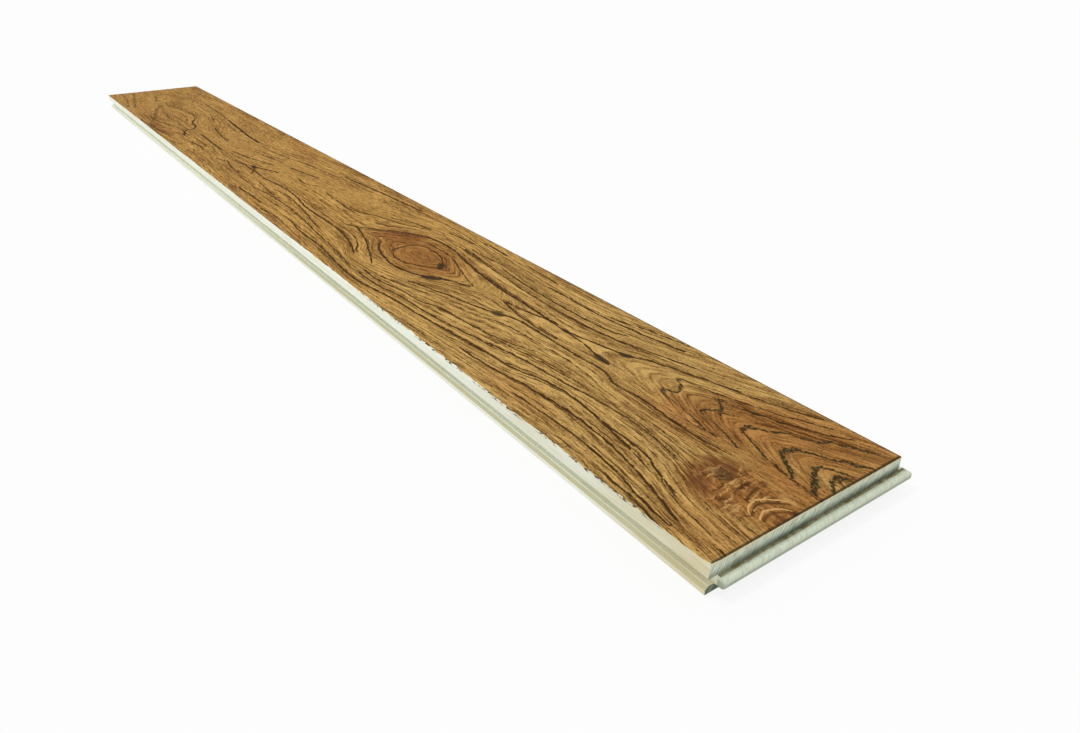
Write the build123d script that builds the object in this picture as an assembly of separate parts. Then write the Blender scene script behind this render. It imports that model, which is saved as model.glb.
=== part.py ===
"""Solid hardwood floorboard with a tongue-and-groove joint on its four edges.

Units are millimetres. +X runs along the board towards the end that has a tongue, +Y across it
towards the long side that has a tongue, and +Z up from the underside to the finished face.
The origin is on the underside, under the middle of the whole board, tongues included.
"""

import os

from build123d import *

# Finished face, without the tongues
FACE_LENGTH = 1210.0
FACE_WIDTH = 125.0
THICKNESS = 18.0

# Heights of the joint, from the finished face down
WEAR_LAYER = 7.8
TONGUE_THICKNESS = 5.4

# Tongues: how far they stand out, and the rounding of their noses
SIDE_TONGUE = 4.5
END_TONGUE = 4.5
NOSE_RADIUS = 2.0

# Grooves: room above and below a seated tongue together, room past its nose, and the corners
GROOVE_PLAY = 0.2
GROOVE_SPARE_DEPTH = 1.0
GROOVE_CORNER_RADIUS = 0.5
UPPER_MOUTH_EASE = 0.4
LOWER_MOUTH_EASE = 1.5

# The lower lip and the lower shoulder stand back, so that neighbouring faces close up tight
LIP_SETBACK = 0.6
SHOULDER_SETBACK = 1.4

# Arrises of the finished face and of the underside
FACE_BEVEL = 0.5
FOOT_EASE = 0.8

# Relief channels along the underside
RELIEF_COUNT = 4
RELIEF_PITCH = 28.0
RELIEF_WIDTH = 10.0
RELIEF_DEPTH = 2.5
RELIEF_CORNER_RADIUS = 1.0

# How far each section runs past the board before the two are intersected
OVERRUN = 10.0

# Largest share of a wall that the rounding or easing at one of its edges may take
EDGE_SHARE = 0.45

# Levels of the joint above the underside
TONGUE_TOP = THICKNESS - WEAR_LAYER
TONGUE_FOOT = TONGUE_TOP - TONGUE_THICKNESS
GROOVE_TOP = TONGUE_TOP + GROOVE_PLAY / 2
GROOVE_FLOOR = TONGUE_FOOT - GROOVE_PLAY / 2


def corner(outline, point):
    """The corner of the outline at the given point."""
    return outline.vertices().sort_by_distance((*point, 0))[0]


def joint_section(face, tongue):
    """Section from edge to edge, with the groove at the low end and the tongue at the high end."""
    groove_face = -(face + tongue) / 2
    groove_wall = groove_face + tongue + GROOVE_SPARE_DEPTH
    lower_lip = groove_face + LIP_SETBACK
    shoulder = groove_face + face
    lower_shoulder = shoulder - SHOULDER_SETBACK
    nose = shoulder + tongue

    lip_foot = (lower_lip, 0)
    lower_mouth = (lower_lip, GROOVE_FLOOR)
    groove_low_corner = (groove_wall, GROOVE_FLOOR)
    groove_high_corner = (groove_wall, GROOVE_TOP)
    upper_mouth = (groove_face, GROOVE_TOP)
    groove_arris = (groove_face, THICKNESS)
    tongue_arris = (shoulder, THICKNESS)
    tongue_root = (shoulder, TONGUE_TOP)
    nose_top = (nose, TONGUE_TOP)
    nose_foot = (nose, TONGUE_FOOT)
    lower_root = (lower_shoulder, TONGUE_FOOT)
    shoulder_foot = (lower_shoulder, 0)
    outline = make_face(
        Polyline(
            lip_foot,
            lower_mouth,
            groove_low_corner,
            groove_high_corner,
            upper_mouth,
            groove_arris,
            tongue_arris,
            tongue_root,
            nose_top,
            nose_foot,
            lower_root,
            shoulder_foot,
            close=True,
        )
    )

    nose_radius = min(NOSE_RADIUS, EDGE_SHARE * TONGUE_THICKNESS, EDGE_SHARE * 2 * tongue)
    groove_radius = min(GROOVE_CORNER_RADIUS, EDGE_SHARE * (GROOVE_TOP - GROOVE_FLOOR))
    lower_mouth_ease = min(LOWER_MOUTH_EASE, EDGE_SHARE * GROOVE_FLOOR)
    foot_ease = min(FOOT_EASE, EDGE_SHARE * GROOVE_FLOOR)
    for point in (nose_top, nose_foot):
        outline = fillet(corner(outline, point), nose_radius)
    for point in (groove_low_corner, groove_high_corner):
        outline = fillet(corner(outline, point), groove_radius)
    for point in (groove_arris, tongue_arris):
        outline = chamfer(corner(outline, point), FACE_BEVEL)
    for point in (lip_foot, shoulder_foot):
        outline = chamfer(corner(outline, point), foot_ease)
    outline = chamfer(corner(outline, upper_mouth), UPPER_MOUTH_EASE)
    return chamfer(corner(outline, lower_mouth), lower_mouth_ease)


def relief_channels():
    """Sections of the relief channels, centred between the long sides of the face."""
    channel = RectangleRounded(RELIEF_WIDTH, 2 * RELIEF_DEPTH, RELIEF_CORNER_RADIUS)
    spots = GridLocations(RELIEF_PITCH, RELIEF_DEPTH, RELIEF_COUNT, 1)
    return [Pos(-SIDE_TONGUE / 2, 0) * spot * channel for spot in spots]


def floorboard():
    """The board: the part that its section across and its section along have in common."""
    across = joint_section(FACE_WIDTH, SIDE_TONGUE) - relief_channels()
    along = joint_section(FACE_LENGTH, END_TONGUE)
    half_length = (FACE_LENGTH + END_TONGUE) / 2 + OVERRUN
    half_width = (FACE_WIDTH + SIDE_TONGUE) / 2 + OVERRUN
    planed = extrude(Plane.YZ * across, half_length, both=True)
    end_matched = extrude(Plane.XZ * along, half_width, both=True)
    return planed & end_matched


board = floorboard()
board.label = "floorboard"
os.makedirs("parts", exist_ok=True)
export_step(board, "parts/floorboard.step")
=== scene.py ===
"""Looks of a solid hardwood floorboard: stained, lacquered face, raw sides, tongue-and-groove edges.

Blender lengths are metres. Places on the face are given in millimetres: "along" from the near end,
which is the end with the tongue, and "across" from the groove side.
"""

import math

import bmesh
import bpy
from bpy.props import FloatProperty, FloatVectorProperty, IntProperty, PointerProperty
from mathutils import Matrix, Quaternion, Vector, noise


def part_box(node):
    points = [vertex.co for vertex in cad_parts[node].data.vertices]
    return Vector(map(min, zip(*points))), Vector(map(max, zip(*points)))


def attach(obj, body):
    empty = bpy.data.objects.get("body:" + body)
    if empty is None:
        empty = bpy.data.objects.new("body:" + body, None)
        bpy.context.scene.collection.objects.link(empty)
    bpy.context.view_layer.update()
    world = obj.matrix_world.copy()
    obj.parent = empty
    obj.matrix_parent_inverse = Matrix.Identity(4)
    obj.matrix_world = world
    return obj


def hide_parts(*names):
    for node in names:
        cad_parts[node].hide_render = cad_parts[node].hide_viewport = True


bl_info = {
    "name": "Hardwood floorboard",
    "version": (1, 0, 0),
    "blender": (4, 5, 0),
    "location": "3D View > Sidebar > Floorboard",
    "description": "Builds a solid hardwood floorboard with tongue-and-groove edges and a studio stage",
    "category": "Add Mesh",
}

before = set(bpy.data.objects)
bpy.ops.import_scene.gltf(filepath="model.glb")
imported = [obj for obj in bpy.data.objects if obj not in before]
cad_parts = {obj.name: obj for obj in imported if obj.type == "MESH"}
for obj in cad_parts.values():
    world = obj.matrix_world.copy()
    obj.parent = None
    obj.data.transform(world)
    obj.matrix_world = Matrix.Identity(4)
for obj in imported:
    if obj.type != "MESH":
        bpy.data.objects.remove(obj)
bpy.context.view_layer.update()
BOARD_LOW, BOARD_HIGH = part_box("floorboard")
# A millimetre in metres, the greatest place across the face, the middle of a noise, and plain white
MM = 0.001
FACE_SPAN = 125
NOISE_MIDDLE = 0.5
WHITE = (1, 1, 1, 1)

# Sockets of Blender's Mix node for colours
MIX_FACTOR = 0
MIX_FIRST = 6
MIX_SECOND = 7
MIX_RESULT = 2
GROUP_NODES = {"ShaderNodeTree": "ShaderNodeGroup", "GeometryNodeTree": "GeometryNodeGroup"}


def srgb(red, green, blue):
    """Linear colour of a display colour given from 0 to 255."""
    def linear(level):
        share = level / 255
        return share / 12.92 if share <= 0.04045 else ((share + 0.055) / 1.055) ** 2.4
    return tuple(linear(level) for level in (red, green, blue))


# Flow of the grain: lines that it follows from end to end, as a level and points (along, across)
FLOW_RANGE = (-40, 190)
FLOW_LINES = (
    (4, (
        (0, 2), (30, 6), (60, 10), (100, 12), (150, 10), (220, 6), (280, 2), (340, -3), (380, -2),
        (440, 2), (520, 4), (620, 4), (760, 6), (900, 2), (1000, -8), (1080, -2), (1210, 10),
    )),
    (12, (
        (0, 7), (30, 10), (60, 17), (100, 22), (140, 23), (180, 18), (220, 14), (266, 10), (310, 7),
        (350, 3), (380, 5), (440, 9), (510, 13), (620, 12), (760, 15), (860, 14), (940, 4), (1010, 2),
        (1080, 10), (1210, 18),
    )),
    (19, (
        (0, 16), (34, 19), (68, 29), (100, 31), (134, 33), (157, 31), (180, 25), (212, 22), (266, 16),
        (309, 12), (350, 7), (380, 10), (440, 13), (511, 15), (600, 19), (700, 20), (780, 23),
        (870, 24), (940, 14), (1010, 12), (1090, 20), (1210, 33),
    )),
    (27, (
        (0, 25), (30, 30), (56, 38), (77, 42), (100, 43), (128, 41), (177, 36), (205, 31), (257, 22),
        (301, 18), (337, 14), (366, 14), (401, 17), (464, 22), (516, 26), (591, 24), (640, 28),
        (743, 25), (800, 31), (870, 34), (950, 26), (1012, 20), (1041, 28), (1080, 34), (1140, 38),
        (1210, 44),
    )),
    (44, (
        (0, 67), (30, 64), (56, 59), (129, 60), (143, 64), (201, 63), (230, 61), (244, 55), (275, 48),
        (292, 44), (325, 34), (366, 26), (390, 24), (412, 32), (428, 36), (482, 39), (527, 39),
        (559, 43), (596, 44), (641, 40), (690, 43), (732, 37), (775, 39), (869, 42), (905, 37),
        (950, 38), (1012, 30), (1062, 40), (1130, 46), (1210, 54),
    )),
    (58, (
        (0, 70), (47, 67), (98, 66), (150, 69), (200, 66), (240, 68), (262, 70), (285, 66), (301, 60),
        (316, 51), (341, 42), (355, 40), (382, 43), (400, 49), (412, 55), (450, 54), (520, 55),
        (600, 52), (690, 46), (770, 44), (870, 46), (905, 42), (950, 44), (1000, 42), (1075, 48),
        (1130, 50), (1210, 58),
    )),
    (72, (
        (0, 132), (37, 122), (63, 113), (91, 105), (120, 98), (143, 91), (156, 85), (183, 80),
        (196, 77), (242, 79), (291, 81), (328, 86), (359, 91), (387, 90), (405, 84), (426, 70),
        (440, 58), (455, 55), (520, 56), (600, 55), (690, 47), (770, 45), (830, 52), (900, 48),
        (941, 52), (963, 60), (1012, 62), (1052, 58), (1075, 50), (1210, 60),
    )),
    (80, (
        (0, 150), (60, 123), (90, 114), (141, 101), (170, 94), (200, 91), (260, 91), (301, 94),
        (330, 97), (370, 100), (405, 96), (445, 83), (464, 79), (486, 70), (527, 69), (561, 70),
        (610, 68), (650, 66), (690, 61), (740, 51), (800, 49), (860, 55), (941, 64), (1000, 70),
        (1070, 68), (1140, 66), (1210, 68),
    )),
    (92, (
        (0, 160), (90, 125), (120, 115), (150, 106), (180, 99), (200, 97), (260, 97), (300, 101),
        (330, 104), (380, 108), (420, 104), (450, 98), (500, 92), (560, 86), (611, 82), (655, 75),
        (700, 70), (770, 62), (820, 58), (900, 66), (980, 78), (1050, 80), (1210, 78),
    )),
    (105, (
        (0, 168), (100, 126), (130, 119), (170, 111), (200, 108), (258, 108), (300, 110), (350, 113),
        (400, 118), (450, 116), (527, 111), (573, 107), (600, 105), (660, 98), (740, 86), (783, 83),
        (826, 84), (869, 87), (955, 93), (1035, 96), (1210, 94),
    )),
    (120, (
        (0, 182), (150, 130), (200, 122), (258, 122), (300, 124), (380, 130), (450, 132), (527, 127),
        (600, 120), (700, 112), (783, 104), (830, 108), (900, 110), (1000, 112), (1100, 115),
        (1210, 112),
    )),
)
# Flow lines on both sides of the heart, counted from 0: between them lie the arches and the round knots
HEART_SIDES = (5, 6)

# Traced grain: each dark line is its half width, its strength and its points in millimetres
# A line that runs along the board has points (along, across)
LINES_ALONG = (
    # Eye-shaped knot
    (1.3, 0.95, (
        (466, 48), (450, 54), (434, 65), (405, 84), (387, 90), (358, 91), (328, 86), (290, 81),
        (242, 79), (200, 78),
    )),
    (0.9, 0.85, ((384, 82), (364, 83), (346, 82), (316, 74), (285, 66))),
    (1.3, 0.95, (
        (409, 60), (403, 52), (392, 46), (369, 41), (355, 40), (340, 42), (328, 46), (312, 56),
        (285, 66),
    )),
    (1.0, 0.95, ((386, 64), (380, 74), (364, 77), (350, 76), (342, 73), (331, 65))),
    (1.0, 0.95, ((386, 64), (382, 55), (376, 50), (356, 49), (349, 52), (337, 59), (331, 65))),
    (2.6, 0.58, ((442, 57), (427, 67), (412, 77), (398, 86), (388, 88))),
    (1.8, 0.6, ((432, 57), (420, 65), (406, 76), (394, 84))),
    (1.5, 0.56, ((420, 57), (411, 64), (400, 73), (389, 81))),
    (1.0, 0.9, ((455, 54), (428, 49), (398, 40), (366, 28))),
    (1.1, 0.95, ((325, 34), (292, 44), (257, 52), (241, 57), (230, 61), (200, 63))),
    # Long lines below the knot, from the middle of the board to the near end
    (1.2, 0.95, (
        (732, 36), (698, 40), (641, 40), (595, 44), (559, 43), (527, 39), (448, 38), (412, 32),
        (387, 23),
    )),
    (1.1, 0.8, ((600, 34), (563, 37), (527, 35), (482, 29), (459, 27))),
    (1.1, 0.8, ((622, 19), (591, 24), (516, 26), (464, 22), (400, 17), (366, 13))),
    (1.2, 0.9, (
        (519, 14), (500, 15), (470, 12), (426, 12), (364, 7), (346, 7), (309, 12), (266, 16), (212, 22),
        (190, 24),
    )),
    (1.0, 0.95, (
        (220, 20), (198, 23), (167, 27), (157, 31), (134, 33), (100, 31), (68, 29), (60, 26), (34, 18),
    )),
    (0.9, 0.9, (
        (366, 20), (337, 19), (310, 24), (282, 27), (273, 31), (239, 34), (201, 41), (180, 49),
    )),
    (1.0, 0.95, (
        (366, 15), (337, 14), (301, 19), (257, 22), (226, 27), (205, 31), (177, 36), (151, 38),
        (128, 41),
    )),
    (0.8, 0.85, ((140, 39), (128, 41), (99, 43), (77, 42), (56, 38))),
    (1.0, 0.95, ((220, 14), (188, 15), (156, 20), (120, 23), (84, 21), (56, 16), (20, 6))),
    (0.9, 0.9, ((158, 10), (110, 12), (70, 10), (48, 6), (22, 3))),
    (1.3, 0.85, ((625, 10), (598, 11), (560, 11))),
    (1.3, 0.8, ((748, 24), (735, 26), (728, 29), (706, 27), (670, 25))),
    # Fish mouth between the eye-shaped knot and the arches
    (1.1, 0.95, (
        (258, 71), (230, 74), (217, 77), (196, 77), (170, 82), (151, 86), (134, 94), (106, 102),
        (77, 109),
    )),
    (0.9, 0.85, ((97, 104), (85, 107), (74, 110), (64, 113), (52, 117), (39, 122))),
    (0.9, 0.85, ((97, 96), (83, 99), (70, 103), (60, 106), (46, 112), (31, 119))),
    (1.0, 0.9, ((73, 96), (62, 99), (52, 102), (43, 106), (32, 111), (20, 119))),
    (1.0, 0.9, ((258, 71), (242, 68), (225, 66), (188, 66))),
    (1.0, 0.9, ((200, 77), (173, 75), (156, 72), (146, 71))),
    (1.0, 0.95, ((206, 63), (170, 63), (143, 64), (129, 60), (111, 61), (84, 60), (56, 59))),
    (2.0, 0.6, ((34, 73), (26, 71), (16, 69), (6, 68), (-4, 68))),
    # Upper half
    (1.4, 0.9, ((600, 105), (573, 107), (527, 111), (482, 114), (450, 116))),
    (1.5, 0.85, ((660, 74), (632, 78), (605, 83))),
    (0.9, 0.85, ((561, 70), (527, 69), (486, 70), (477, 75), (464, 79), (445, 83), (408, 98))),
    (1.0, 0.9, ((330, 96), (301, 94), (260, 91), (200, 91), (170, 94), (141, 101), (111, 109))),
    (1.1, 0.9, ((306, 101), (290, 99), (260, 97), (200, 97), (180, 99), (165, 104))),
    (1.2, 0.95, ((260, 108), (244, 108), (200, 108), (170, 111), (130, 117))),
    (1.1, 0.9, ((457, 87), (444, 90), (434, 95), (421, 97), (405, 99))),
    (1.0, 0.85, ((394, 107), (380, 109), (357, 110))),
    (1.0, 0.8, ((350, 103), (325, 103), (305, 105))),
    (1.2, 0.9, ((354, 99), (340, 98), (324, 97))),
    (0.8, 0.7, ((396, 103), (385, 100), (374, 99))),
    (1.0, 0.85, ((300, 118), (278, 117), (256, 116))),
    (1.0, 0.8, ((358, 117), (340, 118), (322, 117))),
    (1.2, 0.85, ((616, 66), (600, 65), (592, 66), (586, 69), (578, 73))),
    # Forked crack
    (1.6, 0.95, ((694, 44), (684, 46), (664, 53), (648, 59))),
    (1.3, 0.9, ((694, 45), (678, 42), (659, 33))),
    (2.4, 0.58, ((766, 47), (720, 54), (677, 64))),
    # Far third
    (2.6, 0.58, ((1060, 97), (1035, 96), (955, 93), (900, 89))),
    (2.2, 0.95, ((930, 91), (900, 89), (869, 87), (826, 84), (783, 83))),
    (1.7, 0.72, ((896, 64), (850, 59), (812, 56))),
    (2.0, 0.85, (
        (963, 59), (941, 50), (920, 48), (909, 44), (903, 39), (900, 32), (892, 28), (872, 24),
    )),
    (2.0, 0.8, ((872, 42), (826, 40), (775, 39))),
    (1.8, 0.75, ((840, 22), (815, 24), (792, 24))),
    (5.0, 0.52, ((1086, 48), (1074, 41), (1060, 35), (1040, 28), (1012, 21), (980, 12))),
    (5.0, 0.5, ((1086, 48), (1074, 53), (1052, 58), (1012, 62), (983, 64), (963, 60))),
    (2.8, 0.56, ((1034, 35), (1010, 36), (983, 32), (955, 36), (935, 34))),
    (3.0, 0.56, ((1166, 54), (1140, 51), (1112, 45))),
    (3.4, 0.54, ((1210, 34), (1169, 28), (1126, 19), (1083, 12))),
    (3.0, 0.52, ((1210, 18), (1170, 16), (1130, 11), (1095, 5))),
)
# An arch line crosses the board and has points (across, along)
LINES_ACROSS = (
    (2.3, 0.9, (
        (66, 65), (71, 84), (73, 98), (75, 108), (82, 104), (87, 106), (92, 112), (95, 98), (98, 84),
    )),
    (2.4, 0.95, (
        (67, 47), (71, 56), (74, 66), (77, 81), (81, 82), (86, 77), (90, 80), (94, 84), (96, 70),
        (101, 58),
    )),
    (2.6, 1.0, (
        (71, 33), (75, 41), (79, 52), (82, 58), (91, 51), (96, 44), (101, 34), (111, 20), (118, 4),
    )),
    (2.8, 1.0, ((69, 17), (74, 23), (79, 30), (84, 35), (90, 31), (94, 23), (99, 13), (107, 0))),
    (2.6, 1.0, ((68, 6), (74, 9), (81, 14), (86, 17), (89, 13), (94, 0))),
    (2.4, 0.95, ((76, 1), (87, 6), (91, 1))),
)
# Lines that cross the board farther on, in the eye-shaped knot and in the far third: how far along they
# are counted from, and lines with points (across, along past that)
LINES_BEYOND = (
    (300, ((1.7, 0.95, ((52, 83), (56, 85), (62, 86), (68, 85), (73, 81))),)),
    (850, ((2.4, 0.9, ((26, 38), (31, 50), (35, 55), (39, 52), (44, 58), (48, 70))),)),
)
# Pale and dark swirls of the burl at the near end, with points (across, along)
LINES_PALE = (
    (0.9, 1.0, ((35, 11), (38, 15), (41, 16.5), (45, 17), (47, 16), (51, 13), (55, 8.5), (57, 3))),
    (0.8, 1.0, ((36, 7), (39, 8.7), (42, 10), (45, 9), (48, 7.5), (50, 5.7), (52, 2.5))),
    (1.0, 0.6, ((43, 27.5), (46, 28.8), (48, 28.2), (52, 29.4))),
    (1.0, 0.55, ((34, 27.5), (37, 29), (39, 29), (43, 30.5))),
    (0.9, 0.6, ((42, 18.2), (46, 18.6), (51, 20.4))),
    (0.8, 0.6, ((38, 12), (40, 13), (43, 13.5))),
    (1.0, 0.6, ((53, 34), (55, 35.5), (57, 36.5), (59, 38))),
    (1.2, 0.65, ((30, 21), (32, 22), (34, 24), (36, 23.6), (39, 24.8))),
)
LINES_SWIRL = (
    (1.1, 0.9, ((37, 11), (41, 14), (45, 14.3), (47, 13), (51, 10), (55, 5.5))),
    (1.1, 0.8, ((40, 25), (46, 26.8), (53, 27))),
    (1.2, 0.85, ((41, 19), (46, 21), (53, 22.5))),
    (1.2, 0.8, ((36, 5), (39, 6.5), (43, 7), (47, 5.5), (50, 3))),
)
# Dark knots and gum marks: (along, across, half length, half width, turn in degrees, strength)
DARK_MARKS = (
    (318, 51, 11, 4, -32, 1.0),
    (333, 67, 8, 3.6, 42, 1.0),
    (241, 57, 7, 4.2, 0, 0.9),
    (150, 86, 6, 2.6, -25, 1.0),
    (155, 72, 9, 2.4, 5, 1.0),
    (196, 77, 6, 2.0, 5, 1.0),
    (685, 45, 9, 2.6, 5, 1.0),
    (38, 47, 6, 5, 25, 0.65),
)
# Reddish brown areas: (along, across, half length, half width, turn in degrees, strength)
RED_AREAS = (
    (366, 65, 80, 30, 0, 0.8),
    (408, 72, 34, 14, -40, 1.0),
    (45, 93, 90, 36, -25, 0.9),
    (28, 44, 34, 25, -12, 1.0),
    (4, 45, 16, 18, 0, 1.0),
    (12, 16, 40, 18, -12, 0.45),
    (925, 11, 60, 13, -8, 0.5),
    (1150, 74, 25, 8, 0, 0.5),
    (720, 112, 70, 14, 8, 0.4),
    (14, 67, 40, 14, 0, 0.9),
    (150, 12, 48, 9, 0, 0.35),
)
BURL = ((24, 44, 27, 20, 0, 1.0),)
# Dark red-brown blotches, in the same form
DARK_BLOTCHES = (
    (42, 50, 12, 9, 0, 0.95),
    (42, 35, 15, 7, 36, 0.8),
    (22, 33, 10, 5, 20, 0.5),
    (1, 43, 6, 6, 0, 0.85),
    (418, 73, 34, 4.5, -33, 0.7),
    (405, 70, 26, 14, -30, 0.38),
    (372, 84, 40, 5, -8, 0.3),
    (925, 10, 55, 10, -8, 0.2),
    (247, 71.5, 14, 3.0, 0, 0.7),
    (106, 51, 9, 2.0, 0, 0.7),
    (118, 42, 7, 1.8, 0, 0.6),
    (112, 23, 13, 1.8, 0, 0.6),
)
# Pale areas, in the same form
PALE_AREAS = (
    (82, 67, 17, 4, -10, 0.7),
    (70, 36, 22, 5, 8, 0.3),
)
# Areas with few open pores, in the same form
CALM_AREAS = (
    (20, 66, 55, 11, 5, 1.0),
    (26, 43, 28, 20, 0, 0.9),
    (130, 74, 28, 10, 0, 0.7),
    (120, 85, 20, 12, 0, 1.0),
    (280, 72, 32, 10, 0, 1.0),
    (362, 63, 27, 16, 0, 1.0),
    (464, 67, 22, 6, 0, 1.0),
    (380, 29, 18, 5, 0, 0.9),
    (570, 82, 150, 20, -4, 0.85),
    (640, 58, 60, 12, 0, 0.7),
    (850, 62, 140, 24, 0, 0.8),
    (1120, 40, 140, 55, 0, 0.9),
    (930, 100, 260, 24, 0, 0.6),
)
# Height of the heart of the log across the face, and how far the growth rings lie under it
HEART_LINE = (
    (0, 88), (60, 84), (110, 84), (160, 79), (240, 70), (360, 65), (450, 57),
    (560, 57), (690, 46), (800, 43), (980, 44), (1100, 50), (1210, 52),
)
HEART_DEPTH = (
    (0, 2), (18, 10), (35, 16), (58, 22), (85, 28), (113, 34), (160, 40), (220, 40),
    (285, 25), (330, 13), (362, 4), (388, 13), (447, 25), (520, 38), (620, 45), (780, 45),
    (860, 32), (900, 22), (940, 13), (985, 6), (1040, 12), (1080, 20), (1140, 30), (1210, 40),
)


def size_property(name, description, millimetres):
    """Property that holds a length, with its default in millimetres."""
    return FloatProperty(name=name, description=description, default=millimetres * MM, unit="LENGTH")


def colour_property(name, description, default):
    """Property that holds a linear colour."""
    return FloatVectorProperty(name=name, description=description, subtype="COLOR", default=default)


def angle_property(name, description, degrees):
    """Property that holds an angle, with its default in degrees."""
    return FloatProperty(name=name, description=description, subtype="ANGLE", default=math.radians(degrees))


class FloorboardShape(bpy.types.PropertyGroup):
    """Sizes of the board's edges, as in its solid model, and of its wear and grain."""

    wear_layer: size_property("Wear layer", "Wood above the tongue", 7.8)
    tongue: size_property("Tongue", "Thickness of the tongue", 5.4)
    reach: size_property("Reach", "How far a tongue stands out", 4.5)
    nose: size_property("Nose", "Radius of the tongue's nose", 2.0)
    play: size_property("Play", "Room above and below a tongue together", 0.2)
    spare: size_property("Spare", "Room past a tongue's nose", 1.0)
    groove_round: size_property("Groove round", "Corner in the groove", 0.5)
    upper_mouth: size_property("Upper mouth", "Ease of the upper lip", 0.4)
    lower_mouth: size_property("Lower mouth", "Ease of the lower lip", 1.5)
    lip_back: size_property("Lip setback", "Setback of the lower lip", 0.6)
    shoulder_back: size_property("Shoulder setback", "Setback of the lower shoulder", 1.4)
    bevel: size_property("Face bevel", "Bevel round the face", 0.5)
    foot: size_property("Foot ease", "Ease of the lower arrises", 0.8)
    reliefs: IntProperty(name="Relief channels", description="Channels under the board", default=4, min=0)
    relief_pitch: size_property("Relief pitch", "Channel to channel", 28)
    relief_width: size_property("Relief width", "Width of a channel", 10)
    relief_depth: size_property("Relief depth", "Depth of a channel", 2.5)
    relief_round: size_property("Relief round", "Corner of a channel", 1)
    stations: IntProperty(name="Stations", description="Steps along the face", default=600, min=2)
    face_lines: IntProperty(name="Face lines", description="Steps across the face", default=140, min=2)
    lip_lines: IntProperty(name="Lip lines", description="Steps down the upper lip", default=6, min=1)
    wear: size_property("Wear", "Deepest chip of the groove arris", 1.3)
    grain_depth: size_property("Grain depth", "Depth of the grain lines", 0.2)


class FloorboardFinish(bpy.types.PropertyGroup):
    """Colours of the stained face and of the raw wood, among them colours for painted shade."""

    light: colour_property("Light", "Light streaks", srgb(210, 170, 100))
    brown: colour_property("Brown", "Dark streaks", srgb(114, 79, 37))
    red: colour_property("Red", "Tint of the round knots", (0.7, 0.51, 0.43))
    golden: colour_property("Golden", "Tint of the far half", (1.0, 0.92, 0.79))
    line: colour_property("Line", "Dark grain lines", srgb(62, 40, 16))
    arch: colour_property("Arch", "Lines of the arches", srgb(52, 46, 24))
    mark: colour_property("Mark", "Knots and gum", srgb(56, 44, 26))
    blotch: colour_property("Blotch", "Red-brown blotches", srgb(108, 66, 36))
    pale: colour_property("Pale", "Swirls of the burl", srgb(214, 172, 108))
    edge: colour_property("Edge", "Stain on the arrises", srgb(52, 48, 30))
    raw: colour_property("Raw", "Raw sides", srgb(248, 252, 238))
    raw_streak: colour_property("Streak", "Raw grain", srgb(230, 228, 204))
    tan: colour_property("Tan", "Darker raw wood", srgb(224, 208, 168))
    # Khaki: the duller tone of the lips, and painted shade inside the groove and on its mouth
    khaki: colour_property("Khaki", "Groove mouth", srgb(186, 181, 142))
    end: colour_property("End grain", "Raw ends", srgb(218, 226, 204))
    # End pores: the colour of the end grain's pores, and of the painted shade on the lower part of the
    # tongue's nose
    end_pores_and_shade: colour_property("End pores", "Pores of ends", srgb(148, 156, 136))
    residue: colour_property("Residue", "Stain that ran over the end tongue", srgb(136, 122, 74))
    # Painted shade: a dark colour laid where shade falls at the near end, under the lip, on the lower lip's
    # end and on the tongue's root
    painted_shade: colour_property("Soot", "Dark corners", srgb(60, 76, 66))


class FloorboardStage(bpy.types.PropertyGroup):
    """Camera, floor and light."""

    place: FloatVectorProperty(
        name="Camera",
        description="Where the camera stands",
        subtype="XYZ",
        unit="LENGTH",
        default=(0.7578, -0.2530, 0.2349),
    )
    heading: angle_property("Heading", "Turn from +X to the way the camera looks", 144.96)
    pitch: angle_property("Pitch", "How far the camera looks down", 28.79)
    roll: angle_property("Roll", "Lean of the horizon", 0.29)
    lens: FloatProperty(name="Lens", description="Focal length in millimetres", default=26.86)
    sky: FloatProperty(name="Sky", description="Strength of the even light", default=0.75)
    key: FloatProperty(name="Key", description="Strength of the key lamp", default=0.9)
    key_way: FloatVectorProperty(
        name="Key way", description="The way the key lamp shines", subtype="XYZ", default=(0.38, 0.42, -1.0)
    )
    key_spread: angle_property("Key spread", "Width of the key lamp, which softens its shadow", 12)
    floor: FloatProperty(name="Floor", description="Half the floor's width", default=6.0, unit="LENGTH")


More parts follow.
